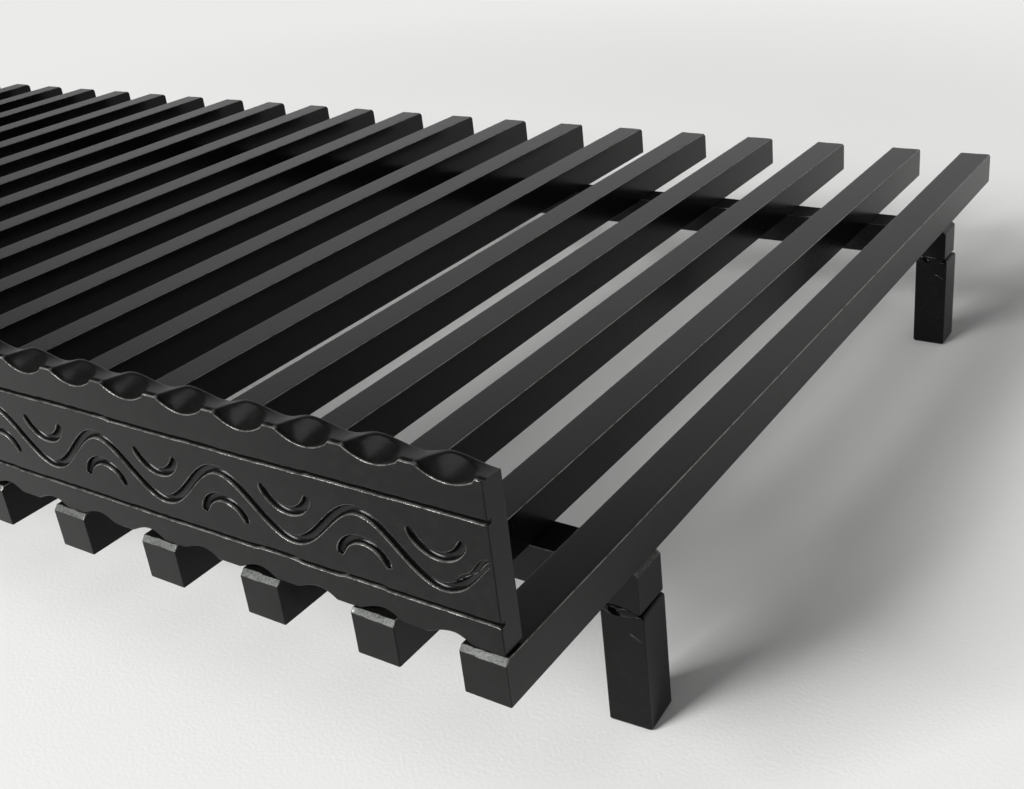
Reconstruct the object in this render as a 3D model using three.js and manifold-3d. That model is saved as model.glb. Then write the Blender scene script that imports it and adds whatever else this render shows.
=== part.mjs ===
// Log grate: square bars on two crossbars, four legs and an embossed ornament bar on edge.
// Millimetres. X runs along the hearth, Y from the open front to the back, Z up, floor at 0.
import * as THREE from 'three';
import { mergeVertices } from 'three/addons/utils/BufferGeometryUtils.js';
import ManifoldModule from 'manifold-3d';

// Stock
const BAR = 12; // square bar, used for grate bars, crossbars and legs
const ARRIS = 0.4; // rolled corner of the square bar
const END_GRIND = 1.2; // bevel ground on the upper edge of each cut end

// Grate bars
const BAR_COUNT = 22;
const BAR_LENGTH = 360;
const PITCH = 34;
const END_PITCH = 29.4; // the outermost bar at each side sits closer to its neighbour
const BED_GAP = 6; // the logs' bed starts this far behind the ornament bar

// Crossbars
const CROSSBAR_INSET = 51.5; // from a bar's end to the crossbar's outer face
const CROSSBAR_PROUD = 0.8; // past the outermost bar's side

// Legs
const TOP_OF_BARS = 60; // above the floor
const LEG_PROUD = 1.6; // past the outermost bar's side
const LEG_GRIND = 0.6; // light dressing of the leg's sawn ends
const LEG_SEAM = 0.6; // open seam between a leg's top and its crossbar
const LEG_TURN = THREE.MathUtils.degToRad(2.9); // front legs stand a little turned

// Ornament bar
const ORNAMENT_HEIGHT = 42.5; // to the crests behind the scoops
const ORNAMENT_THICKNESS = 6.5;
const ORNAMENT_SETBACK = 1.2; // behind the bars' front ends
const ORNAMENT_INSET = 0.8; // inside the outermost bar's side
const PATTERN_MIDDLE = 19.7; // above the ornament bar's lower edge
const LINE_OFFSET = 12; // from the pattern's middle to either line groove
const LINE_WIDTH = 1.9;
const LINE_DEPTH = 1;
const WAVE_LENGTH = 41.35;
const WAVE_RISE = 12.8; // crest to trough
const WAVE_FIRST_CREST = 34.5; // in from the right end
const WAVE_END_STOP = 1.2; // the groove runs out this far before the end
const GROOVE_RADIUS = 1; // wave and crescent grooves
const CRESCENT_RADIUS = 7.2;
const CRESCENT_HALF_ANGLE = THREE.MathUtils.degToRad(74);
const CRESCENT_OFFSET = 7.4; // crescent's middle to the wave beside it
const SCOOP_PITCH = 18.6;
const UPPER_SCOOP = { first: 9.3, length: 15, reach: 5.5, dip: 3.8, backDip: 1.5 };
const LOWER_SCOOP = { first: 12.7, length: 13.4, reach: 4.6, dip: 2.1, backDip: 1.1 };
const LIP_DROP = 1.1; // the front arris between the upper scoops lies below the crests
const LIP_DEPTH = 0.9;

// Welds
const TACK = new THREE.Vector3(4, 3.2, 3);
const LEG_WELD = new THREE.Vector3(4.4, 1.8, 2.6);

// Worked out from the dimensions above
const gridWidth = 2 * END_PITCH + (BAR_COUNT - 3) * PITCH + BAR;
const halfWidth = gridWidth / 2;
const barBottom = TOP_OF_BARS - BAR;
const crossbarBottom = barBottom - BAR;
const legHeight = crossbarBottom - LEG_SEAM;
const barFront = -BAR_LENGTH / 2;
const crossbarY = BAR_LENGTH / 2 - CROSSBAR_INSET - BAR / 2;
const ornamentFront = barFront + ORNAMENT_SETBACK;
const ornamentBack = ornamentFront + ORNAMENT_THICKNESS;
const bedFront = ornamentBack + BED_GAP;
const ornamentHalf = halfWidth - ORNAMENT_INSET;
const ornamentMiddle = TOP_OF_BARS + ORNAMENT_HEIGHT / 2;
const patternMiddle = TOP_OF_BARS + PATTERN_MIDDLE;

const wasm = await ManifoldModule();
wasm.setup();

// ---- solids -----------------------------------------------------------------

function toSolid(geometry) {
  const bare = geometry.clone();
  bare.deleteAttribute('normal');
  bare.deleteAttribute('uv');
  const welded = mergeVertices(bare, 1e-4);
  return new wasm.Manifold(
    new wasm.Mesh({
      numProp: 3,
      vertProperties: Float32Array.from(welded.attributes.position.array),
      triVerts: Uint32Array.from(welded.index.array),
    }),
  );
}

function toGeometry(solid) {
  const mesh = solid.getMesh();
  const geometry = new THREE.BufferGeometry();
  geometry.setAttribute('position', new THREE.BufferAttribute(mesh.vertProperties, 3));
  geometry.setIndex(new THREE.BufferAttribute(mesh.triVerts, 1));
  const faceted = geometry.toNonIndexed();
  faceted.computeVertexNormals();
  return faceted;
}

function box(size, centre) {
  return new THREE.BoxGeometry(...size).translate(...centre);
}

// A ball of weld metal: its long axis runs along X.
function weldBead(size, centre) {
  return new THREE.SphereGeometry(1, 6, 5)
    .rotateZ(Math.PI / 2)
    .scale(size.x, size.y, size.z)
    .translate(...centre);
}

// Square bar lying along X, both ends ground along their upper edge. Where a bed is given, its
// long faces are in two panels that meet there.
function squareBar(length, grind = END_GRIND, bed = []) {
  const flat = BAR / 2 - ARRIS;
  const end = length / 2 - ARRIS;
  const side = new THREE.Shape([
    new THREE.Vector2(-end, -flat),
    ...bed.map((x) => new THREE.Vector2(x, -flat)),
    new THREE.Vector2(end, -flat),
    new THREE.Vector2(end, flat - grind),
    new THREE.Vector2(end - grind, flat),
    ...bed.map((x) => new THREE.Vector2(x, flat)),
    new THREE.Vector2(-end + grind, flat),
    new THREE.Vector2(-end, flat - grind),
  ]);
  return new THREE.ExtrudeGeometry(side, {
    depth: 2 * flat,
    bevelEnabled: true,
    bevelThickness: ARRIS,
    bevelSize: ARRIS,
    bevelSegments: 1,
  })
    .translate(0, 0, -flat)
    .rotateX(Math.PI / 2);
}

// ---- grate bars -------------------------------------------------------------

function barX(index) {
  if (index === 0) return -halfWidth + BAR / 2;
  if (index === BAR_COUNT - 1) return halfWidth - BAR / 2;
  return (index - (BAR_COUNT - 1) / 2) * PITCH;
}

// ---- crossbars --------------------------------------------------------------

// Crossbar with a tack in the corner under each grate bar, on the face towards the middle.
function crossbar(side) {
  let solid = toSolid(squareBar(gridWidth + 2 * CROSSBAR_PROUD));
  const tack = toSolid(weldBead(TACK, [0, (-side * BAR) / 2, BAR / 2]))
    .subtract(toSolid(box([2 * BAR, 2 * BAR, BAR], [0, 0, BAR])));
  for (let i = 0; i < BAR_COUNT; i += 1) {
    solid = solid.add(tack.translate([barX(i), 0, 0]));
  }
  return toGeometry(solid);
}

// ---- legs -------------------------------------------------------------------

// Leg with the weld across the seam on its front face.
function leg() {
  const upright = squareBar(legHeight, LEG_GRIND)
    .rotateY(Math.PI / 2)
    .translate(0, 0, legHeight / 2);
  const weld = weldBead(LEG_WELD, [0, -BAR / 2, legHeight + LEG_SEAM / 2]);
  return toSolid(upright).add(toSolid(weld));
}

function placedLeg(handX, side, turn) {
  const half = (BAR / 2) * (Math.cos(turn) + Math.abs(Math.sin(turn)));
  const x = handX * (halfWidth + LEG_PROUD - half);
  const y = side * crossbarY;
  const solid = leg()
    .rotate([0, 0, THREE.MathUtils.radToDeg(turn) * handX])
    .translate([x, y, 0]);
  const seat = toSolid(box([8 * BAR, BAR, BAR], [x, y, barBottom - BAR / 2]));
  return toGeometry(solid.subtract(seat));
}

// ---- ornament bar -----------------------------------------------------------

function waveZ(fromRight) {
  return patternMiddle + (WAVE_RISE / 2) * Math.cos((2 * Math.PI * (fromRight - WAVE_FIRST_CREST)) / WAVE_LENGTH);
}

class WavePath extends THREE.Curve {
  constructor(start, end) {
    super();
    this.start = start;
    this.end = end;
  }

  getPoint(t, target = new THREE.Vector3()) {
    const fromRight = THREE.MathUtils.lerp(this.start, this.end, t);
    return target.set(ornamentHalf - fromRight, ornamentFront, waveZ(fromRight));
  }
}

class CrescentPath extends THREE.Curve {
  constructor(x, z, opening) {
    super();
    this.x = x;
    this.z = z;
    this.opening = opening; // 1 opens upwards, -1 downwards
  }

  getPoint(t, target = new THREE.Vector3()) {
    const angle = THREE.MathUtils.lerp(-CRESCENT_HALF_ANGLE, CRESCENT_HALF_ANGLE, t);
    return target.set(
      this.x + CRESCENT_RADIUS * Math.sin(angle),
      ornamentFront,
      this.z + this.opening * CRESCENT_RADIUS * (1 - Math.cos(angle)),
    );
  }
}

// Round cutter drawn along a curve on the front face.
function grooveCutter(path, steps, sides) {
  const section = new THREE.Shape();
  for (let i = 0; i < sides; i += 1) {
    const angle = (2 * Math.PI * (i + 0.5)) / sides;
    const x = GROOVE_RADIUS * Math.cos(angle);
    const y = GROOVE_RADIUS * Math.sin(angle);
    if (i === 0) section.moveTo(x, y);
    else section.lineTo(x, y);
  }
  section.closePath();
  return toSolid(new THREE.ExtrudeGeometry(section, { extrudePath: path, steps, bevelEnabled: false }));
}

function lineCutter(z) {
  const section = new THREE.Shape([
    new THREE.Vector2(-LINE_WIDTH / 2, 0.4),
    new THREE.Vector2(-LINE_WIDTH / 2, 0),
    new THREE.Vector2(-LINE_WIDTH / 5, -LINE_DEPTH),
    new THREE.Vector2(LINE_WIDTH / 5, -LINE_DEPTH),
    new THREE.Vector2(LINE_WIDTH / 2, 0),
    new THREE.Vector2(LINE_WIDTH / 2, 0.4),
  ]);
  const prism = new THREE.ExtrudeGeometry(section, { depth: gridWidth, bevelEnabled: false });
  prism.translate(0, 0, -gridWidth / 2);
  prism.applyMatrix4(
    new THREE.Matrix4().makeBasis(
      new THREE.Vector3(0, 0, 1),
      new THREE.Vector3(0, -1, 0),
      new THREE.Vector3(1, 0, 0),
    ),
  );
  return toSolid(prism.translate(0, ornamentFront, z));
}

// Lemon-shaped die, pointed at both tips, lying along X.
function scoopDie(length, reach, dip, sides) {
  const stations = 6;
  const profile = [];
  for (let i = 0; i <= stations; i += 1) {
    const t = i / stations - 0.5;
    profile.push(new THREE.Vector2(Math.cos(Math.PI * t), t * length));
  }
  profile[0].x = 0;
  profile[stations].x = 0;
  return toSolid(
    new THREE.LatheGeometry(profile, sides)
      .rotateZ(Math.PI / 2)
      .scale(1, reach, dip),
  );
}

// Scoops along one edge: those of the front face, and half a pitch away those of the back.
function scoopCutters(scoop, z) {
  const rows = [
    { die: scoopDie(scoop.length, scoop.reach, scoop.dip, 12), y: ornamentFront, first: scoop.first },
    {
      die: scoopDie(scoop.length, scoop.reach, scoop.backDip, 8),
      y: ornamentBack,
      first: scoop.first - SCOOP_PITCH / 2,
    },
  ];
  const cutters = [];
  for (const { die, y, first } of rows) {
    for (let fromRight = first; fromRight < 2 * ornamentHalf + scoop.length / 2; fromRight += SCOOP_PITCH) {
      cutters.push(die.translate([ornamentHalf - fromRight, y, z]));
    }
  }
  return cutters;
}

// Wedge that takes the upper front arris down between the scoops.
function lipCutter() {
  const top = TOP_OF_BARS + ORNAMENT_HEIGHT;
  const section = new THREE.Shape([
    new THREE.Vector2(-2 * LIP_DEPTH, -LIP_DROP * 3),
    new THREE.Vector2(LIP_DEPTH, 0),
    new THREE.Vector2(LIP_DEPTH, LIP_DROP),
    new THREE.Vector2(-2 * LIP_DEPTH, LIP_DROP),
  ]);
  const wedge = new THREE.ExtrudeGeometry(section, { depth: gridWidth, bevelEnabled: false });
  wedge.translate(0, 0, -gridWidth / 2);
  wedge.applyMatrix4(
    new THREE.Matrix4().makeBasis(
      new THREE.Vector3(0, 1, 0),
      new THREE.Vector3(0, 0, 1),
      new THREE.Vector3(1, 0, 0),
    ),
  );
  return toSolid(wedge.translate(0, ornamentFront, top));
}

// A tack in the corner behind the ornament bar, on top of each grate bar.
function ornamentTacks() {
  const tack = toSolid(weldBead(TACK, [0, ornamentBack, TOP_OF_BARS])).subtract(
    toSolid(box([2 * BAR, 2 * BAR, BAR], [0, ornamentBack, TOP_OF_BARS - BAR / 2])),
  );
  const tacks = [];
  for (let i = 0; i < BAR_COUNT; i += 1) {
    tacks.push(tack.translate([barX(i), 0, 0]));
  }
  return wasm.Manifold.union(tacks);
}

function ornamentBar() {
  const length = 2 * ornamentHalf;
  const slab = box(
    [length, ORNAMENT_THICKNESS, ORNAMENT_HEIGHT],
    [0, (ornamentFront + ornamentBack) / 2, ornamentMiddle],
  );
  const cutters = [
    lineCutter(patternMiddle - LINE_OFFSET),
    lineCutter(patternMiddle + LINE_OFFSET),
    lipCutter(),
    ...scoopCutters(UPPER_SCOOP, TOP_OF_BARS + ORNAMENT_HEIGHT),
    ...scoopCutters(LOWER_SCOOP, TOP_OF_BARS),
  ];
  const waves = (length - 2 * WAVE_END_STOP) / WAVE_LENGTH;
  cutters.push(grooveCutter(new WavePath(WAVE_END_STOP, length - WAVE_END_STOP), Math.round(14 * waves), 6));
  const clear = CRESCENT_RADIUS + GROOVE_RADIUS;
  for (let half = 0; half < 2 * waves + 1; half += 1) {
    const fromRight = WAVE_FIRST_CREST + ((half - 1) * WAVE_LENGTH) / 2;
    if (fromRight < clear || fromRight > length - clear) continue;
    const opening = half % 2 === 0 ? 1 : -1;
    const z = waveZ(fromRight) + opening * CRESCENT_OFFSET;
    cutters.push(grooveCutter(new CrescentPath(ornamentHalf - fromRight, z, opening), 8, 6));
  }
  return toGeometry(toSolid(slab).subtract(wasm.Manifold.union(cutters)).add(ornamentTacks()));
}

// ---- assembly ---------------------------------------------------------------

const satinBlack = { color: 0x2e302e, roughness: 0.5, metalness: 0.35 };
const group = new THREE.Group();

function place(name, geometry, x = 0, y = 0, z = 0) {
  const mesh = new THREE.Mesh(geometry, new THREE.MeshStandardMaterial(satinBlack));
  mesh.name = name;
  mesh.position.set(x, y, z);
  group.add(mesh);
}

for (let i = 0; i < BAR_COUNT; i += 1) {
  const name = `grate_bar_${String(BAR_COUNT - i).padStart(2, '0')}`;
  const bar = squareBar(BAR_LENGTH, END_GRIND, [bedFront]).rotateZ(Math.PI / 2);
  place(name, bar, barX(i), 0, TOP_OF_BARS - BAR / 2);
}
for (const [name, side] of [['front_crossbar', -1], ['rear_crossbar', 1]]) {
  place(name, crossbar(side), 0, side * crossbarY, barBottom - BAR / 2);
}
for (const [hand, handX] of [['right', 1], ['left', -1]]) {
  place(`leg_front_${hand}`, placedLeg(handX, -1, LEG_TURN));
  place(`leg_rear_${hand}`, placedLeg(handX, 1, 0));
}
place('ornament_bar', ornamentBar());

export default group;
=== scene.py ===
import math
import random

import bpy
import numpy as np
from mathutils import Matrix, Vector


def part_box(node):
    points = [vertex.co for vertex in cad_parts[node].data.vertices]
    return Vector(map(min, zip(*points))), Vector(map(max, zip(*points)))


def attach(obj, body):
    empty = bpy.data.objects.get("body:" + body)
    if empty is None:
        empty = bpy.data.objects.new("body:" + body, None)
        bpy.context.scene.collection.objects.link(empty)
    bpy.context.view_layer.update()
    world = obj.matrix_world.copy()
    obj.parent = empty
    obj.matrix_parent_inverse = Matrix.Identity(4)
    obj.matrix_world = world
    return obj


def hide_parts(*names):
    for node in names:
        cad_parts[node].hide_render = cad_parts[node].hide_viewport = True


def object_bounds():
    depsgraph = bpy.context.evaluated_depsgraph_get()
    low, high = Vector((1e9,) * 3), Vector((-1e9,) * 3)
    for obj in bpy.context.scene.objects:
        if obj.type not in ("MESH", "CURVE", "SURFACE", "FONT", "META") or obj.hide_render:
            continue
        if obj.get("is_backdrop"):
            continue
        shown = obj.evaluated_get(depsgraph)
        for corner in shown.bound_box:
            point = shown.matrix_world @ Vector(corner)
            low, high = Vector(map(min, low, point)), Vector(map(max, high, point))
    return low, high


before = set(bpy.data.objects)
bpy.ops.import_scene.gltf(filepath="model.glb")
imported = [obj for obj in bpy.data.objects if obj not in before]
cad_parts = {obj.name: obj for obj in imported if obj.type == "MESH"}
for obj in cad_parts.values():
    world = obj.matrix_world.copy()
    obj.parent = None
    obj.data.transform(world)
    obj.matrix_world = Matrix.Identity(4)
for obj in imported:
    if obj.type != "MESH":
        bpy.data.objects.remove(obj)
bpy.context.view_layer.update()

# ---- sizes, in metres -------------------------------------------------------

NEAR = 1e-6  # places closer than this are the same
HAIR = 0.00001  # keeps a cut clear of the face beside it

BAR = 0.012
CROSSBAR_MIDDLE = 0.1285 - BAR / 2  # out from the grate's middle
GROUND_END = 0.00115  # height of the bevel ground on a bar's cut end
BAR_ARRIS = 0.00034  # radius of a rolled arris
BEVEL_ARRIS = 0.0001
TACK = (0.004, 0.0032, 0.003)  # half sizes, as for every weld

SEAM = 0.0006  # open between leg and crossbar
LEG_STANDS_OUT = 0.0016  # past the crossbar's end
LEG_WELD = (0.0053, 0.0005, 0.0016)
CRATER = (0.0019, 0.0018, 0.0013)
SPATTER = (0.0021, 0.0004, 0.00055)
LEG_CHAMFER, LEG_ARRIS = 0.0006, 0.00035
FRONT_LEG_TURN = math.radians(2.9)

THICKNESS = 0.0065  # of the ornament bar
ORNAMENT_ARRIS = 0.00028
PATTERN_MIDDLE = 0.0197  # above the ornament bar's lower edge
LINE_OFFSET = 0.012
WAVE_LENGTH = 0.04135
WAVE_RISE = 0.0128
WAVE_FIRST_CREST = 0.0345  # in from the right end
WAVE_END = 0.0012  # the wave stops this far from both ends
CRESCENT_RADIUS = 0.0072
CRESCENT_HALF_ANGLE = math.radians(74)
CRESCENT_OFFSET = 0.0074
CRESCENT_CLEAR = 0.0082  # no crescent's middle is nearer to an end
SCOOP_PITCH = 0.0186
UPPER_FIRST = 0.0093  # middle of the first scoop, in from the right end
LOWER_FIRST = 0.0127


# ---- the bench: picking, shaping and joining --------------------------------


def take(piece):
    """Only this piece is picked, in object mode."""
    if bpy.context.mode != "OBJECT":
        bpy.ops.object.mode_set(mode="OBJECT")
    bpy.ops.object.select_all(action="DESELECT")
    bpy.context.view_layer.objects.active = piece
    piece.select_set(True)


def settle(piece):
    """Puts the piece's place, turn and size into its mesh."""
    take(piece)
    bpy.ops.object.transform_apply(location=True, rotation=True, scale=True)


def set_at(piece, place, turn=(0, 0, 0)):
    piece.rotation_euler = turn
    piece.location = place
    settle(piece)


def named(piece, name):
    piece.name = name
    piece.data.name = name
    return piece


def block(name, low, high):
    bpy.ops.object.select_all(action="DESELECT")
    bpy.ops.mesh.primitive_cube_add(size=1, location=(Vector(low) + Vector(high)) / 2)
    piece = named(bpy.context.object, name)
    piece.scale = Vector(high) - Vector(low)
    settle(piece)
    return piece


def pick_edges(piece, wanted):
    """Edit mode on the piece, with the edges picked that wanted(a, b) says yes to."""
    take(piece)
    bpy.ops.object.mode_set(mode="EDIT")
    bpy.ops.mesh.select_mode(type="EDGE")
    bpy.ops.mesh.select_all(action="DESELECT")
    bpy.ops.object.mode_set(mode="OBJECT")
    points = piece.data.vertices
    for edge in piece.data.edges:
        a, b = (points[i].co for i in edge.vertices)
        edge.select = bool(wanted(a, b))
    bpy.ops.object.mode_set(mode="EDIT")


def bevel_picked(offset, segments):
    bpy.ops.mesh.bevel(
        offset=offset, offset_type="OFFSET", segments=segments, profile=0.5, clamp_overlap=True
    )
    bpy.ops.object.mode_set(mode="OBJECT")


def pick_sharp(piece, angle):
    """Edit mode on the piece, with the edges picked that bend by more than this many degrees."""
    take(piece)
    bpy.ops.object.mode_set(mode="EDIT")
    bpy.ops.mesh.select_mode(type="EDGE")
    bpy.ops.mesh.select_all(action="DESELECT")
    bpy.ops.mesh.edges_select_sharp(sharpness=math.radians(angle))


def apply_modifier(piece, kind, **settings):
    take(piece)
    modifier = piece.modifiers.new(kind.lower(), kind)
    for key, value in settings.items():
        setattr(modifier, key, value)
    bpy.ops.object.modifier_apply(modifier=modifier.name)


def carve(piece, tool, operation="DIFFERENCE"):
    """Boolean with a tool that is used up."""
    apply_modifier(piece, "BOOLEAN", object=tool, operation=operation, solver="EXACT")
    bpy.data.objects.remove(tool)


def join(name, parts):
    take(parts[0])
    for part in parts:
        part.select_set(True)
    bpy.ops.object.join()
    return named(bpy.context.object, name)


def clean_up(piece, gap):
    """Joins points that are closer than the gap, and turns all faces outward."""
    take(piece)
    bpy.ops.object.mode_set(mode="EDIT")
    bpy.ops.mesh.select_mode(type="VERT")
    bpy.ops.mesh.select_all(action="SELECT")
    bpy.ops.mesh.remove_doubles(threshold=gap)
    bpy.ops.mesh.normals_make_consistent(inside=False)
    bpy.ops.object.mode_set(mode="OBJECT")


# ---- marks for wear and painted shade ---------------------------------------

BROAD_FLAT = 2e-6  # square metres
ARRIS_STRIP = 0.0003  # a flat narrower than this belongs to a rolled arris
FULL_BEND = 0.5  # radians between two faces that give a full mark


def read(items, name, width=1, kind=float):
    """One value, or one row of values, from each face, corner, edge or point of a mesh."""
    values = np.empty(len(items) * width, kind)
    items.foreach_get(name, values)
    return values.reshape(-1, width) if width > 1 else values


def mark_edges(piece):
    """Writes how proud and how hollow each point's corner is: proud for wear, hollow for painted
    shade in creases and grooves. Points on a broad flat stay unmarked, so that no mark spreads
    over it, unless the flat is only a strip along a rolled arris."""
    mesh = piece.data
    faces, points = len(mesh.polygons), len(mesh.vertices)
    normal = read(mesh.polygons, "normal", 3)
    centre = read(mesh.polygons, "center", 3)
    area = read(mesh.polygons, "area")
    loop_edge = read(mesh.loops, "edge_index", kind=int)
    loop_point = read(mesh.loops, "vertex_index", kind=int)
    loop_face = np.repeat(np.arange(faces), read(mesh.polygons, "loop_total", kind=int))
    edge_ends = read(mesh.edges, "vertices", 2, int)

    order = np.argsort(loop_edge, kind="stable")
    edge, face = loop_edge[order], loop_face[order]
    pair = np.flatnonzero(edge[:-1] == edge[1:])
    first, second, edge = face[pair], face[pair + 1], edge[pair]
    bend = np.arccos(np.clip((normal[first] * normal[second]).sum(1), -1, 1))
    side = ((centre[second] - centre[first]) * normal[first]).sum(1)
    proud = np.zeros(points)
    hollow = np.zeros(points)
    for end in edge_ends[edge].T:
        np.maximum.at(proud, end, np.where(side < 0, bend, 0))
        np.maximum.at(hollow, end, np.where(side > 0, bend, 0))

    place = read(mesh.vertices, "co", 3)
    edge_length = np.linalg.norm(place[edge_ends[:, 0]] - place[edge_ends[:, 1]], axis=1)
    round_about = np.bincount(loop_face, edge_length[loop_edge], faces)
    large = (area > BROAD_FLAT) & (2 * area / round_about > ARRIS_STRIP)
    broad = np.zeros(points, bool)
    broad[loop_point[large[loop_face]]] = True
    for name, value in (("arris", proud), ("hollow", hollow)):
        mark = mesh.attributes.new(name, "FLOAT", "POINT")
        mark.data.foreach_set("value", np.where(broad, 0, np.clip(value / FULL_BEND, 0, 1)))


def mark_where(piece, name, wanted):
    """Writes 1 at the points that wanted(place) says yes to, and 0 at the others."""
    mark = piece.data.attributes.new(name, "FLOAT", "POINT")
    values = [1.0 if wanted(point.co) else 0.0 for point in piece.data.vertices]
    mark.data.foreach_set("value", values)


def unmark(piece, name, wanted):
    """Takes the mark off the points that wanted(place) says yes to."""
    mark = piece.data.attributes[name]
    for point, value in zip(piece.data.vertices, mark.data):
        if wanted(point.co):
            value.value = 0.0


def finish_piece(piece, finish, *nodes):
    """Smooth rolled corners with flat faces between them, the paint, and its place in the frame."""
    take(piece)
    bpy.ops.object.shade_smooth_by_angle(angle=math.radians(60))
    apply_modifier(piece, "WEIGHTED_NORMAL", weight=100, keep_sharp=True)
    piece.data.materials.clear()
    piece.data.materials.append(finish)
    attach(piece, "root")
    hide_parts(*nodes)


# ---- finishes ---------------------------------------------------------------


class Wire:
    """A value in a finish. Sums written with it add Math nodes."""

    def __init__(self, finish, socket):
        self.finish = finish
        self.socket = socket

    def sum(self, operation, *terms, clamp=False):
        settings = {"operation": operation, "use_clamp": clamp}
        return self.finish.node("ShaderNodeMath", settings, dict(enumerate(terms)))

    def __add__(self, other):
        return self.sum("ADD", self, other)

    def __radd__(self, other):
        return self.sum("ADD", other, self)

    def __sub__(self, other):
        return self.sum("SUBTRACT", self, other)

    def __mul__(self, other):
        return self.sum("MULTIPLY", self, other)

    def kept(self):
        """Kept between 0 and 1."""
        return self.sum("ADD", self, 0.0, clamp=True)


class Finish:
    """A material's or the room's nodes."""

    def __init__(self, owner):
        owner.use_nodes = True
        self.owner = owner
        self.tree = owner.node_tree
        self.tree.nodes.clear()

    def node(self, kind, settings=None, inputs=None, output=0):
        made = self.tree.nodes.new(kind)
        for key, value in (settings or {}).items():
            setattr(made, key, value)
        for key, value in (inputs or {}).items():
            if isinstance(value, Wire):
                self.tree.links.new(value.socket, made.inputs[key])
            else:
                made.inputs[key].default_value = value
        return Wire(self, made.outputs[output]) if made.outputs else None

    def cloud(self, place, scale, detail=2.0, roughness=0.5):
        """Noise from 0 to 1 with this many waves to the metre."""
        inputs = {"Vector": place, "Scale": scale, "Detail": detail, "Roughness": roughness}
        return self.node("ShaderNodeTexNoise", {"noise_dimensions": "3D"}, inputs)

    def ramp(self, value, low, high, bottom=0.0, top=1.0):
        """Goes softly from bottom to top while the value goes from low to high."""
        span = {"From Min": low, "From Max": high, "To Min": bottom, "To Max": top}
        settings = {"interpolation_type": "SMOOTHSTEP"}
        return self.node("ShaderNodeMapRange", settings, {"Value": value, **span})

    def blend(self, amount, under, over):
        settings = {"data_type": "RGBA", "clamp_factor": True}
        return self.node("ShaderNodeMix", settings, {0: amount, 6: under, 7: over}, output=2)

    def mark(self, name):
        """What the piece's points were marked with."""
        settings = {"attribute_type": "GEOMETRY", "attribute_name": name}
        return self.node("ShaderNodeAttribute", settings, output="Fac")

    def moved(self, place, **inputs):
        return self.node("ShaderNodeMapping", {"vector_type": "POINT"}, {"Vector": place, **inputs})


# how light each layer is, as a share of white; the hollows' layer is painted shade
DARK_PAINT, PALE_PAINT, MOTTLED_PAINT, HOLLOW_PAINTED_SHADE = 0.0026, 0.0046, 0.007, 0.0025
# the grey on up-facing faces is partly real dust and partly a painted sheen on the tops
DUST_AND_PAINTED_SHEEN, FILED_STEEL, RUBBED_STEEL = 0.012, 0.12, 0.26

GLOSS = 0.24  # roughness of the plain paint
GRAIN_HEIGHT = 0.00009


def shade(value, warm=0.0):
    return (value * (1 + warm), value * 1.04, value * (0.97 - warm), 1)


def black_paint(name, shift, wear, worn_from=0.05):
    """Satin black stove paint on rolled steel: fine grain, rubbed arrises, coarse ground ends.
    Arrises are rubbed where they face up by more than worn_from."""
    f = Finish(bpy.data.materials.new(name))
    place = f.moved(f.node("ShaderNodeTexCoord", output="Object"), Location=shift)
    patches = f.cloud(place, 24, 3)
    mottle = f.cloud(place, 380, 3, 0.6)
    peel = f.cloud(place, 950, 2)
    grain = f.cloud(place, 2900, 2, 0.6)
    chips = f.ramp(f.cloud(place, 310, 4, 0.7), 0.36, 0.6)
    drawn = f.cloud(f.moved(place, Scale=(1, 0.06, 1)), 620, 2)

    arris = f.mark("arris")
    hollow = f.mark("hollow")
    ground = f.mark("ground")
    weld = f.mark("weld")
    facing = f.node("ShaderNodeNewGeometry", output="Normal")
    up = f.node("ShaderNodeSeparateXYZ", inputs={0: facing}, output="Z")
    worn = f.ramp(arris, 0.25, 0.95) * f.ramp(up, worn_from, worn_from + 0.45)
    rubbed = (worn * (0.25 + chips * 0.75) * wear).kept()
    filed = (ground * f.ramp(f.cloud(place, 1500, 3, 0.7), 0.3, 0.6, 0.35, 1.0)).kept()
    # dust and painted sheen: faces that look up are greyed, partly for dust and partly for the
    # sheen tops show
    dust_and_painted_sheen = (f.ramp(up, 0.5, 1.0) * (0.35 + patches * 0.9) * (0.6 + mottle * 0.6)).kept()

    colour = f.blend(f.ramp(patches, 0.35, 0.65), shade(DARK_PAINT), shade(PALE_PAINT))
    colour = f.blend(f.ramp(mottle, 0.4, 0.7, 0.0, 0.5), colour, shade(MOTTLED_PAINT))
    # dust with painted sheen on the up-facing tops
    colour = f.blend(dust_and_painted_sheen * 0.25, colour, shade(DUST_AND_PAINTED_SHEEN, warm=0.01))
    # painted shade: concave corners, grooves and scoops are darkened where shade falls in them
    colour = f.blend(f.ramp(hollow, 0.3, 1.0, 0.0, 0.7), colour, shade(HOLLOW_PAINTED_SHADE))
    colour = f.blend(filed * 0.85, colour, shade(FILED_STEEL))
    colour = f.blend(rubbed * 0.9, colour, shade(RUBBED_STEEL))

    gloss = GLOSS + (mottle - 0.5) * 0.12 + (patches - 0.5) * 0.06
    gloss = gloss - rubbed * 0.04 + filed * 0.12 + weld * 0.03
    height = peel * 0.3 + grain * 0.12 + drawn * 0.05
    height = height + ground * f.cloud(place, 1300, 3, 0.7) * 2.2
    height = height + weld * f.cloud(place, 700, 3, 0.6) * 2.0
    height = height + arris * f.cloud(place, 1900, 2, 0.7) * 2.4
    relief = {"Strength": 0.55, "Distance": GRAIN_HEIGHT, "Height": height}
    look = {
        "Base Color": colour,
        "Roughness": gloss.kept(),
        "Metallic": rubbed * 0.6,
        "IOR": 1.26,
        "Normal": f.node("ShaderNodeBump", inputs=relief),
    }
    shader = f.node("ShaderNodeBsdfPrincipled", inputs=look)
    f.node("ShaderNodeOutputMaterial", inputs={"Surface": shader})
    return f.owner


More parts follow.
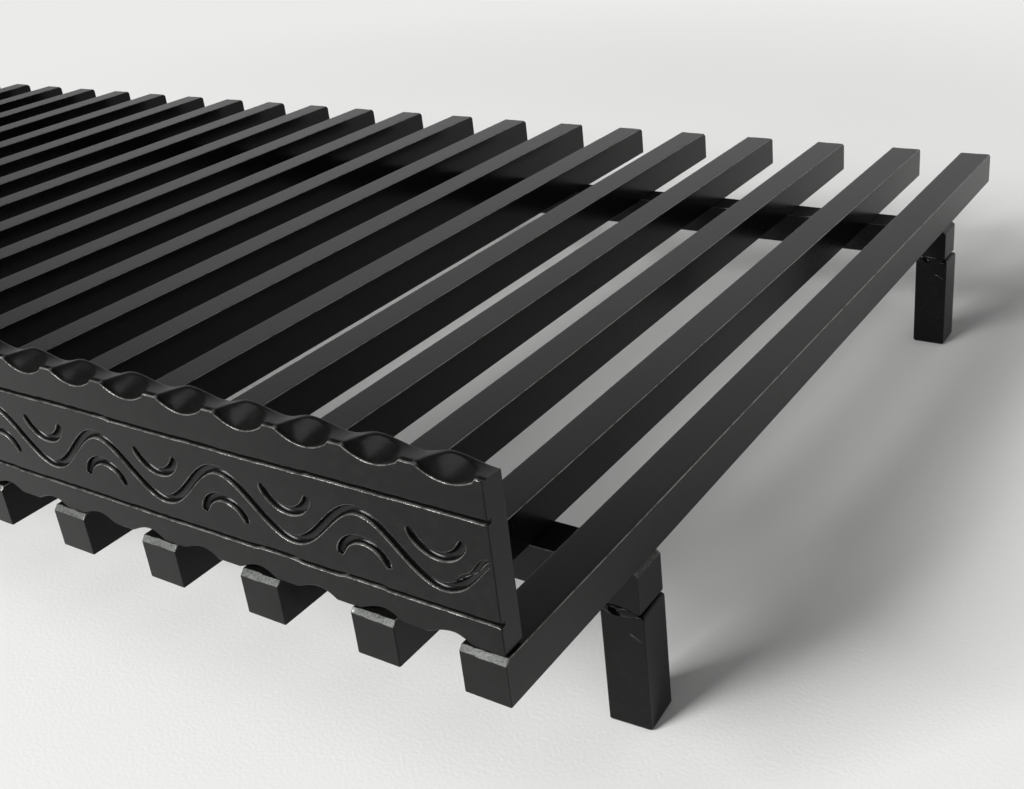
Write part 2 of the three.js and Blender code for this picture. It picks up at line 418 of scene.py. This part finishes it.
bar_paint = black_paint("satin_black_bars", (0.0, 0.0, 0.0), wear=1.5)
frame_paint = black_paint("satin_black_crossbars_and_legs", (0.31, 0.17, 0.05), wear=0.9)
ornament_paint = black_paint(
    "satin_black_ornament", (0.11, 0.42, 0.23), wear=0.8, worn_from=-0.75
)


# ---- bars and welds ---------------------------------------------------------


def ragged(piece, along, low, high, seed):
    """The ground bevels' edges are uneven, as an angle grinder leaves them by hand."""
    chance = random.Random(seed)
    across = 1 - along
    for cut, inward in ((low[along], 1), (high[along], -1)):
        drop = chance.uniform(-0.00022, 0.00012)
        slant = chance.uniform(-0.03, 0.03)
        for point in piece.data.vertices:
            off = slant * (point.co[across] - (low[across] + high[across]) / 2)
            bump = chance.uniform(-0.00016, 0.00016)
            from_end, down = abs(point.co[along] - cut), high[2] - point.co.z
            if from_end < NEAR and abs(down - GROUND_END) < NEAR:
                point.co.z += drop + off + bump
            elif abs(down) < NEAR and from_end < GROUND_END + NEAR:
                point.co[along] += inward * (bump - off - drop)


def square_bar(name, low, high, along, seed):
    """Square bar with rolled arrises, both ends ground by hand along their upper edge."""
    low, high = Vector(low), Vector(high)
    bar = block(name, low, high)

    def upper_end_edge(a, b):
        return min(a.z, b.z) > high.z - NEAR and abs(a[along] - b[along]) < NEAR

    def ground_edge(a, b):
        from_end = min(abs(a[along] - low[along]), abs(a[along] - high[along]))
        level = abs(a.z - b.z) < NEAR and a.z > high.z - GROUND_END - NEAR
        return from_end < GROUND_END + NEAR and level and abs(a[along] - b[along]) < NEAR

    pick_edges(bar, upper_end_edge)
    bevel_picked(GROUND_END, segments=1)
    pick_edges(bar, ground_edge)
    bpy.ops.mesh.subdivide(number_cuts=6)
    bpy.ops.object.mode_set(mode="OBJECT")
    ragged(bar, along, low, high, seed)
    pick_sharp(bar, 60)
    bevel_picked(BAR_ARRIS, segments=3)
    pick_sharp(bar, 38)
    bevel_picked(BEVEL_ARRIS, segments=1)
    return bar


def on_ground_bevel(low, high, along):
    """Says for a place whether it lies on the bevels ground on the ends of this bar."""
    across = 1 - along

    def wanted(p):
        inward, down = min(p[along] - low[along], high[along] - p[along]), high.z - p.z
        inside = min(p[across] - low[across], high[across] - p[across]) > 0.0002
        return inside and min(inward, down) > 0.00004 and inward + down < GROUND_END + 0.0005

    return wanted


def bead(name, size, seed):
    """Weld bead lying along X round the origin, with the ripples of its run."""
    bpy.ops.object.select_all(action="DESELECT")
    bpy.ops.mesh.primitive_uv_sphere_add(segments=20, ring_count=14, radius=1)
    weld = named(bpy.context.object, name)
    set_at(weld, (0, 0, 0), (0, math.pi / 2, 0))
    phase = random.Random(seed).uniform(0, 6)
    for point in weld.data.vertices:
        x, y, z = point.co
        ripple = 1 - 0.07 * (0.5 + 0.5 * math.sin(11 * x + 3.2 * (y * y + z * z) + phase))
        wander = 0.05 * math.sin(2.3 * x + phase)
        width = y * ripple * (0.93 + wander)
        point.co = (x * 0.98 * size[0], width * size[1], z * ripple * 0.96 * size[2])
    return weld


def cut_flat(piece, at, facing):
    """Cuts the piece off at a plane and closes it; the side that facing points to is lost."""
    take(piece)
    bpy.ops.object.mode_set(mode="EDIT")
    bpy.ops.mesh.select_all(action="SELECT")
    bpy.ops.mesh.bisect(plane_co=at, plane_no=facing, use_fill=True, clear_outer=True)
    bpy.ops.object.mode_set(mode="OBJECT")


def bar_middle(number):
    low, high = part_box(f"grate_bar_{number:02d}")
    return (low.x + high.x) / 2


BARS = range(1, 23)


def tack_row(y, z, up, seed):
    """A tack weld on each grate bar along y, cut off flush with the joint's plane at z."""
    tacks = []
    for number in BARS:
        tack = bead("tack", TACK, seed + number)
        set_at(tack, (bar_middle(number), y, z))
        cut_flat(tack, (0, 0, z - up * HAIR), (0, 0, up))
        tacks.append(tack)
    return join("tacks", tacks)


for number in BARS:
    low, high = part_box(f"grate_bar_{number:02d}")
    bar = square_bar(f"bar_{number:02d}", low, high, 1, 40 + number)
    mark_edges(bar)
    mark_where(bar, "ground", on_ground_bevel(low, high, 1))
    finish_piece(bar, bar_paint, f"grate_bar_{number:02d}")

# ---- crossbars with the tacks under the grate bars --------------------------

bar_low, bar_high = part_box("grate_bar_01")
UNDER_BARS = bar_low.z
for name, side in (("front_crossbar", -1), ("rear_crossbar", 1)):
    low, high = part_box(name)
    middle = side * CROSSBAR_MIDDLE
    inner = middle - side * BAR / 2
    low = Vector((low.x, middle - BAR / 2, low.z))
    high = Vector((high.x, middle + BAR / 2, UNDER_BARS))
    crossbar = square_bar(name.replace("crossbar", "cross_bar"), low, high, 0, 7 + side)
    carve(crossbar, tack_row(inner, UNDER_BARS, 1, 100 + side), "UNION")
    mark_edges(crossbar)
    mark_where(crossbar, "weld", lambda p: (p.y - inner) * side < -0.0002)
    mark_where(crossbar, "ground", on_ground_bevel(low, high, 0))
    finish_piece(crossbar, frame_paint, name)

# ---- legs -------------------------------------------------------------------

CROSSBAR_BOTTOM = UNDER_BARS - BAR
LEG_TOP = CROSSBAR_BOTTOM - SEAM
SEAT_HALF = 0.4  # the cut for the crossbar's seat runs past both ends of the grate


def leg(name, node, hand, side, turn):
    """Sawn length of the same bar, butt welded under the crossbar's end on its front face."""
    half = BAR / 2
    upright = block(name, (-half, -half, 0), (half, half, LEG_TOP))
    pick_edges(upright, lambda a, b: abs(a.z - b.z) < NEAR)
    bevel_picked(LEG_CHAMFER, segments=1)
    pick_sharp(upright, 32)
    bevel_picked(LEG_ARRIS, segments=2)

    weld = bead("weld", LEG_WELD, 31 + hand + 2 * side)
    set_at(weld, (-hand * 0.0006, -half, LEG_TOP + 0.0003))
    carve(upright, weld, "UNION")
    crater = bead("crater", CRATER, 3)
    set_at(crater, (-hand * 0.0019, -half - 0.0004, LEG_TOP + 0.0002), (0, hand * 0.6, 0))
    carve(upright, crater)
    spatter = bead("spatter", SPATTER, 5)
    set_at(spatter, (hand * 0.0034, -half + 0.00008, LEG_TOP - 0.0068), (0, hand * 0.55, 0))
    carve(upright, spatter, "UNION")

    middle = side * CROSSBAR_MIDDLE
    front = middle - half
    reach = half * (math.cos(turn) + abs(math.sin(turn)))
    outward = hand * (bar_high.x + LEG_STANDS_OUT - reach)
    set_at(upright, (outward, middle, 0), (0, 0, turn * hand))
    seat_low = (-SEAT_HALF, front - HAIR, CROSSBAR_BOTTOM - HAIR)
    seat_high = (SEAT_HALF, middle + half + HAIR, UNDER_BARS)
    carve(upright, block("seat", seat_low, seat_high))
    mark_edges(upright)
    mark_where(upright, "weld", lambda p: p.z > LEG_TOP - 0.0024 and p.y < front - 0.00025)
    unmark(upright, "arris", lambda p: p.z > LEG_TOP - 0.004 and p.y < front + 0.002)
    finish_piece(upright, frame_paint, node)


for hand_name, hand in (("right", 1), ("left", -1)):
    leg(f"front_leg_{hand_name}", f"leg_front_{hand_name}", hand, -1, FRONT_LEG_TURN)
    leg(f"rear_leg_{hand_name}", f"leg_rear_{hand_name}", hand, 1, 0.0)

# ---- ornament bar -----------------------------------------------------------

orn_low, orn_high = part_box("ornament_bar")
ORNAMENT_BACK = orn_low.y + THICKNESS
ORNAMENT_FRONT = orn_low.y
RIGHT_END = orn_high.x
LENGTH = orn_high.x - orn_low.x
BOTTOM, TOP = orn_low.z, orn_high.z
wobble = random.Random(8)


def section(name, points):
    """The outline that a carving tool is drawn with: u down the face, v out of it."""
    area = sum(a[0] * b[1] - b[0] * a[1] for a, b in zip(points, points[1:] + points[:1]))
    if area < 0:  # it has to run anticlockwise
        points = points[::-1]
    curve = bpy.data.curves.new(name, "CURVE")
    curve.dimensions = "2D"
    spline = curve.splines.new("POLY")
    spline.points.add(len(points) - 1)
    for point, (u, v) in zip(spline.points, points):
        point.co = (u, v, 0, 1)
    spline.use_cyclic_u = True
    drawn = bpy.data.objects.new(name, curve)
    bpy.context.scene.collection.objects.link(drawn)
    return drawn


def drawn_tool(name, path, sizes, outline, face):
    """A tool drawn along a path of (x, z) on the upright plane y = face, with its own size at
    each point."""
    curve = bpy.data.curves.new(name, "CURVE")
    curve.dimensions = "2D"
    spline = curve.splines.new("POLY")
    spline.points.add(len(path) - 1)
    for point, (x, z), size in zip(spline.points, path, sizes):
        point.co = (x, z, 0, 1)
        point.radius = size
    curve.bevel_mode = "OBJECT"
    curve.bevel_object = outline
    curve.use_fill_caps = True
    tool = bpy.data.objects.new(name, curve)
    bpy.context.scene.collection.objects.link(tool)
    tool.rotation_euler = (math.pi / 2, 0, 0)
    tool.location = (0, face, 0)
    take(tool)
    bpy.ops.object.convert(target="MESH")
    tool = bpy.context.object
    settle(tool)
    clean_up(tool, 2e-7)
    return tool


def wave_height(from_right):
    """Height over the floor of the wave's middle line."""
    angle = 2 * math.pi * (from_right - WAVE_FIRST_CREST) / WAVE_LENGTH
    return BOTTOM + PATTERN_MIDDLE + WAVE_RISE / 2 * math.cos(angle)


def steps_from_end(number, last):
    """How many places this one is away from the nearer end of a row."""
    return min(number, last - number)


# outlines of the grooves, in metres: a round one with softly rolled lips for the wave and the
# crescents, and a steep one with a rolled lower lip for the lines
round_groove = [(-0.0019, 0.0004), (-0.00136, 0.0), (-0.0012, -0.00005), (-0.00109, -0.0002)]
round_groove += [(-0.00102, -0.0008), (-0.00075, -0.00128), (-0.0002, -0.00145)]
round_groove += [(-u, v) for u, v in reversed(round_groove)]
groove_outline = section("groove_outline", round_groove)
line_groove = [(-0.00132, 0.0004), (-0.001, 0.0), (-0.00088, -0.00007), (-0.0008, -0.00028)]
line_groove += [(-0.00072, -0.00135), (0.00018, -0.00145), (0.00032, -0.001), (0.00038, -0.00032)]
line_groove += [(0.00048, -0.00013), (0.0007, -0.00002), (0.0011, 0.0004)]
line_outline = section("line_outline", line_groove)


def wave_tool():
    steps = int(LENGTH / WAVE_LENGTH * 34)
    stations = [WAVE_END + (LENGTH - 2 * WAVE_END) * i / steps for i in range(steps + 1)]
    path = [(RIGHT_END - s, wave_height(s)) for s in stations]
    sizes = [min(1.0, 0.3 + steps_from_end(i, steps) * 0.12) for i in range(steps + 1)]
    return drawn_tool("wave", path, sizes, groove_outline, ORNAMENT_FRONT)


def second_strike_tool():
    """The wave's die was struck a second time at the right end, a little higher."""
    path, sizes = [], []
    for i in range(15):
        s = 0.0098 - 0.0088 * i / 14
        path.append((RIGHT_END - s, wave_height(s) + 0.0013 + 0.0004 * math.sin(i * 0.7)))
        sizes.append(0.62 * math.sin(math.pi * (i + 0.6) / 15.2) ** 0.4)
    return drawn_tool("second_strike", path, sizes, groove_outline, ORNAMENT_FRONT + 0.00005)


def crescent_tool(from_right, opening):
    """A crescent in a bend of the wave, open upwards (1) or downwards (-1)."""
    middle = wave_height(from_right) + opening * CRESCENT_OFFSET
    last = 22
    path, sizes = [], []
    for i in range(last + 1):
        angle = CRESCENT_HALF_ANGLE * (2 * i / last - 1)
        x = RIGHT_END - from_right + CRESCENT_RADIUS * math.sin(angle)
        z = middle + opening * CRESCENT_RADIUS * (1 - math.cos(angle))
        path.append((x, z))
        sizes.append((0.6, 0.9, 0.98)[min(steps_from_end(i, last), 2)])
    return drawn_tool("crescent", path, sizes, groove_outline, ORNAMENT_FRONT)


LINE_OVERHANG = 0.005  # the line grooves run out over both ends


def line_tool(sign):
    """A straight groove over (1) or under (-1) the wave, with a small jog at every sixth point."""
    level = BOTTOM + PATTERN_MIDDLE + sign * LINE_OFFSET
    length = LENGTH + 2 * LINE_OVERHANG
    steps = int(length / 0.0021)
    jog = 0.0
    path, sizes = [], []
    for i in range(steps + 1):
        if i % 6 == (2 if sign > 0 else 5):
            jog = wobble.choice((-1, 1)) * wobble.uniform(0.00008, 0.00024)
        x = -LENGTH / 2 - LINE_OVERHANG + i * length / steps
        path.append((x, level + jog + wobble.uniform(-3e-5, 3e-5)))
        sizes.append(wobble.uniform(0.9, 1.08))
    return drawn_tool("line", path, sizes, line_outline, ORNAMENT_FRONT)


tools = [wave_tool()]
second_strike = second_strike_tool()
# bend 0 is the wave's first crest, and the bends after it are trough and crest in turn
for bend in range(-1, int(2 * LENGTH / WAVE_LENGTH) + 1):
    from_right = WAVE_FIRST_CREST + bend * WAVE_LENGTH / 2
    if CRESCENT_CLEAR <= from_right <= LENGTH - CRESCENT_CLEAR:
        tools.append(crescent_tool(from_right, -1 if bend % 2 == 0 else 1))
tools += [line_tool(-1), line_tool(1)]


class Knocks:
    """Small unevenness from scoop to scoop, the same every time."""

    def __init__(self, seed):
        chance = random.Random(seed)
        self.shift = [chance.uniform(-0.00025, 0.00025) for _ in range(60)]
        self.depth = [chance.uniform(0.92, 1.06) for _ in range(60)]

    def at(self, from_right, first):
        number = math.floor((from_right - first) / SCOOP_PITCH + 0.5)
        off = from_right - first - number * SCOOP_PITCH - self.shift[number % 60]
        return off, self.depth[number % 60]


def arch(off, middle, half):
    """Height of a round arch of the given half length, 1 at its middle and 0 outside."""
    across = (off - middle) / half
    return math.sqrt(1 - across * across) if abs(across) < 1 else 0.0


def hump(off, half):
    """The same for a soft hump."""
    return math.cos(math.pi / 2 * off / half) if abs(off) < half else 0.0


def fall_in(depth, reach):
    """How far down a scoop's slope a place lies: 1 at the struck face, 0 at the rim."""
    return 1 - (max(depth, 0.0) / reach) ** 1.25 if max(depth, 0.0) < reach else 0.0


def rounded(depth, radius):
    """How far a surface falls towards an edge that is this deep inside it."""
    if depth >= radius:
        return 0.0
    return radius - math.sqrt(max(0.0, radius**2 - (radius - max(depth, 0.0)) ** 2))


upper_knocks = Knocks(21)
lower_knocks, lower_back_knocks = Knocks(23), Knocks(24)

FRONT_ARRIS = 0.0415  # height over the ornament bar's lower edge
BACK_EDGE = 0.0409  # the same, lowest between two crests
BACK_CREST = 0.00155  # rise of a crest over that
CREST_SHIFT = 0.002  # of a crest from its scoop's middle, leftwards
CREST_RIGHT, CREST_LEFT = 0.011, 0.0076  # length of its two flanks
SCOOP_REACH = 0.00565  # from the front towards the back
SCOOP_SHIFT, SCOOP_HALF = 0.0007, 0.0079
LIP_DROP = 0.00275  # of a scoop's lip under the front arris
LIP_SHIFT, LIP_HALF = -0.0003, 0.0076
CREASE_DEPTH, CREASE_HALF, CREASE_DROP = 0.0011, 0.00045, 0.0003  # between two scoops
FRONT_ROLL, BACK_ROLL, LOWER_ROLL = 0.00032, 0.00025, 0.0003  # radii of the rolled arrises


def upper_edge(from_right, depth):
    """Height of the scooped upper edge over the ornament bar's lower edge. The depth is from
    the front."""
    off, strength = upper_knocks.at(from_right, UPPER_FIRST)
    past = off - CREST_SHIFT
    flank = -past / CREST_RIGHT if past < 0 else past / CREST_LEFT
    back_edge = BACK_EDGE + BACK_CREST * (1 + math.cos(math.pi * min(flank, 1.0))) / 2
    backwards = min(max(depth / THICKNESS, 0.0), 1.0)
    level = FRONT_ARRIS + (back_edge - FRONT_ARRIS) * backwards
    over_scoop = arch(off, SCOOP_SHIFT, SCOOP_HALF)
    reach = SCOOP_REACH * over_scoop
    if max(depth, 0.0) < reach:
        lip = FRONT_ARRIS - LIP_DROP * strength * hump(off - LIP_SHIFT, LIP_HALF) ** 0.8
        rim = FRONT_ARRIS + (back_edge - FRONT_ARRIS) * reach / THICKNESS
        level = rim - (rim - lip) * fall_in(depth, reach)
    crease = max(0.0, 1 - abs(depth - CREASE_DEPTH) / CREASE_HALF) * (1 - over_scoop)
    level -= CREASE_DROP * crease
    return level - rounded(depth, FRONT_ROLL) - rounded(THICKNESS - depth, BACK_ROLL)


LOWER_RISE, LOWER_REACH = 0.0021, 0.0046
LOWER_RIGHT, LOWER_LEFT = 0.0049, 0.0068  # length of a lower scoop's two halves
LOWER_BACK_RISE, LOWER_BACK_REACH, LOWER_BACK_HALF = 0.0011, 0.0042, 0.0066


def lower_edge(from_right, depth):
    """The same for the scooped lower edge, which stands on the grate bars between its scoops."""
    off, strength = lower_knocks.at(from_right, LOWER_FIRST)
    half = LOWER_RIGHT if off < 0 else LOWER_LEFT
    rise = LOWER_RISE * strength * hump(off, half)
    rise *= fall_in(depth, LOWER_REACH * arch(off, 0.0, half))
    off, strength = lower_back_knocks.at(from_right, LOWER_FIRST - SCOOP_PITCH / 2)
    behind = THICKNESS - depth
    back_rise = LOWER_BACK_RISE * strength * hump(off, LOWER_BACK_HALF)
    back_rise *= fall_in(behind, LOWER_BACK_REACH * arch(off, 0.0, LOWER_BACK_HALF))
    return max(rise, back_rise) + rounded(depth, LOWER_ROLL) + rounded(behind, LOWER_ROLL)


TOOL_OVERHANG = 0.001  # past both ends of the ornament bar
TOOL_CLEAR = 0.003  # over its highest crest or under its foot


def scooping_tool(name, surface, away, columns, depths):
    """A block whose working face is the scooped edge: it takes off all that lies beyond it."""
    rows = len(depths) - 1
    bpy.ops.object.select_all(action="DESELECT")
    bpy.ops.mesh.primitive_grid_add(x_subdivisions=columns, y_subdivisions=rows, size=1)
    tool = named(bpy.context.object, name)
    for point in tool.data.vertices:
        from_right = (0.5 - point.co.x) * (LENGTH + 2 * TOOL_OVERHANG) - TOOL_OVERHANG
        depth = depths[round((point.co.y + 0.5) * rows)]
        height = BOTTOM + surface(from_right, depth)
        point.co = (RIGHT_END - from_right, ORNAMENT_FRONT + depth, height)
    take(tool)
    bpy.ops.object.mode_set(mode="EDIT")
    bpy.ops.mesh.select_all(action="SELECT")
    bpy.ops.mesh.extrude_region_move(TRANSFORM_OT_translate={"value": (0, 0, away)})
    far_side = (TOP + TOOL_CLEAR) if away > 0 else (BOTTOM - TOOL_CLEAR)
    bpy.ops.transform.resize(value=(1, 1, 0), center_override=(0, 0, far_side))
    bpy.ops.object.mode_set(mode="OBJECT")
    clean_up(tool, 1e-7)
    return tool


# rows of points from front to back across the scooping tools, close together at the arrises
upper_depths = [-0.0006, 0.0, 0.00006, 0.00016, 0.0003, 0.0005, 0.0008, 0.0011, 0.0015, 0.002]
upper_depths += [0.0026, 0.0032, 0.0038, 0.0043, 0.0047, 0.005, 0.0053, 0.0056, 0.0059, 0.0062]
upper_depths += [0.0064, 0.0065, 0.0071]
lower_depths = [-0.0006, 0.0, 0.0001, 0.0003, 0.0008, 0.0016, 0.0026, 0.0036, 0.0044, 0.005]
lower_depths += [0.0057, 0.0062, 0.0064, 0.0065, 0.0071]

flat = block("ornament", (orn_low.x, ORNAMENT_FRONT, BOTTOM), (orn_high.x, ORNAMENT_BACK, TOP))
pick_edges(flat, lambda a, b: abs(a.x - b.x) < NEAR)
bevel_picked(ORNAMENT_ARRIS, segments=2)
carve(flat, join("grooves", tools))
carve(flat, second_strike)
carve(flat, scooping_tool("upper_scoops", upper_edge, 0.004, 1240, upper_depths))
carve(flat, scooping_tool("lower_scoops", lower_edge, -0.004, 760, lower_depths))
nick = bead("nick", (0.0016, 0.0005, 0.0005), 2)
set_at(nick, (RIGHT_END, ORNAMENT_FRONT, BOTTOM + 0.0075), (0, 1.3, 0))
carve(flat, nick)
carve(flat, tack_row(ORNAMENT_BACK, BOTTOM, -1, 300), "UNION")
for outline in (groove_outline, line_outline):
    bpy.data.objects.remove(outline)
mark_edges(flat)
mark_where(flat, "weld", lambda p: p.y > ORNAMENT_BACK + 0.0001)
# the scoops' rims behind the front arris, the foot and the ends keep their paint
unmark(flat, "arris", lambda p: p.z > BOTTOM + 0.036 and p.y > ORNAMENT_FRONT + 0.0006)
unmark(flat, "arris", lambda p: p.z < BOTTOM + 0.0035 or abs(p.x) > RIGHT_END - 0.0008)
finish_piece(flat, ornament_paint, "ornament_bar")

# ---- floor, light and camera ------------------------------------------------


def pale_cloth(name, colour, far_colour):
    """Plain cloth with a fine weave. Farther out it only shows the pale colour of a backdrop."""
    f = Finish(bpy.data.materials.new(name))
    place = f.node("ShaderNodeTexCoord", output="Object")
    weave = f.cloud(place, 900, 2)
    folds = f.cloud(place, 9, 2)
    tint = f.blend(f.cloud(place, 6, 2), colour, tuple(0.97 * c for c in colour[:3]) + (1,))
    relief = {"Strength": 0.1, "Distance": 0.0005, "Height": weave + folds * 6}
    normal = f.node("ShaderNodeBump", inputs=relief)
    look = {"Base Color": tint, "Roughness": 0.95, "Normal": normal}
    cloth = f.node("ShaderNodeBsdfPrincipled", inputs=look)
    seen = f.node("ShaderNodeLightPath", output="Is Camera Ray")
    away = f.node("ShaderNodeVectorMath", {"operation": "LENGTH"}, {0: place}, output="Value")
    backdrop = f.node("ShaderNodeEmission", inputs={"Color": far_colour, "Strength": 1.0})
    far_off = seen * f.ramp(away, 0.4, 0.85)
    shader = f.node("ShaderNodeMixShader", inputs={0: far_off, 1: cloth, 2: backdrop})
    f.node("ShaderNodeOutputMaterial", inputs={"Surface": shader})
    return f.owner


bpy.ops.object.select_all(action="DESELECT")
bpy.ops.mesh.primitive_plane_add(size=12, location=(0, 0, 0))
floor = named(bpy.context.object, "floor")
floor.data.materials.append(pale_cloth("pale_cloth", (0.8, 0.8, 0.79, 1), (0.83, 0.83, 0.82, 1)))
floor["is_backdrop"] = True


def lamp(name, place, target, size, power):
    light = bpy.data.lights.new(name, "AREA")
    light.shape = "SQUARE"
    light.size = size
    light.energy = power
    stand = bpy.data.objects.new(name, light)
    bpy.context.scene.collection.objects.link(stand)
    stand.location = place
    aim = Vector(target) - Vector(place)
    stand.rotation_euler = aim.to_track_quat("-Z", "Y").to_euler()


lamp("key", place=(-1.74, -4.2, 2.5), target=(0.1, 0, 0), size=2.2, power=440)
lamp("overhead", place=(-0.78, -1.04, 2.2), target=(0, 0, 0), size=1.2, power=9)


def grey(value):
    return (value, value, value, 1)


def room():
    """A dim room with a pale wall low down behind the grate, which its gloss shows."""
    f = Finish(bpy.data.worlds.new("room"))
    seen = f.node("ShaderNodeLightPath", output="Is Camera Ray")
    mirrored = f.node("ShaderNodeLightPath", output="Is Glossy Ray")
    way = f.node("ShaderNodeTexCoord", output="Generated")
    back = f.node("ShaderNodeSeparateXYZ", inputs={0: way}, output="Y")
    up = f.node("ShaderNodeSeparateXYZ", inputs={0: way}, output="Z")
    wall = f.ramp(back, 0.2, 0.7) * f.ramp(up, 0.5, 0.75, 1.0, 0.0)
    dim = f.blend(mirrored, grey(0.26), grey(0.03))
    shown = f.blend(mirrored * wall, dim, grey(0.64))
    colour = f.blend(seen, shown, (0.84, 0.84, 0.83, 1))
    light = f.node("ShaderNodeBackground", inputs={"Color": colour, "Strength": 1.0})
    f.node("ShaderNodeOutputWorld", inputs={"Surface": light})
    return f.owner


bpy.context.scene.world = room()

lens = bpy.data.cameras.new("camera")
camera = bpy.data.objects.new("camera", lens)
bpy.context.scene.collection.objects.link(camera)
bpy.context.scene.camera = camera
lens.sensor_fit = "HORIZONTAL"
lens.sensor_width = 36
lens.lens = 43.564
lens.shift_x = -0.0457
lens.shift_y = -0.0321
lens.clip_start = 0.01
camera.location = (0.48525, -0.33452, 0.22008)
camera.rotation_euler = [math.radians(a) for a in (64.464, 5.204, 32.117)]

bpy.context.scene.view_settings.view_transform = "Standard"

low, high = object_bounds()
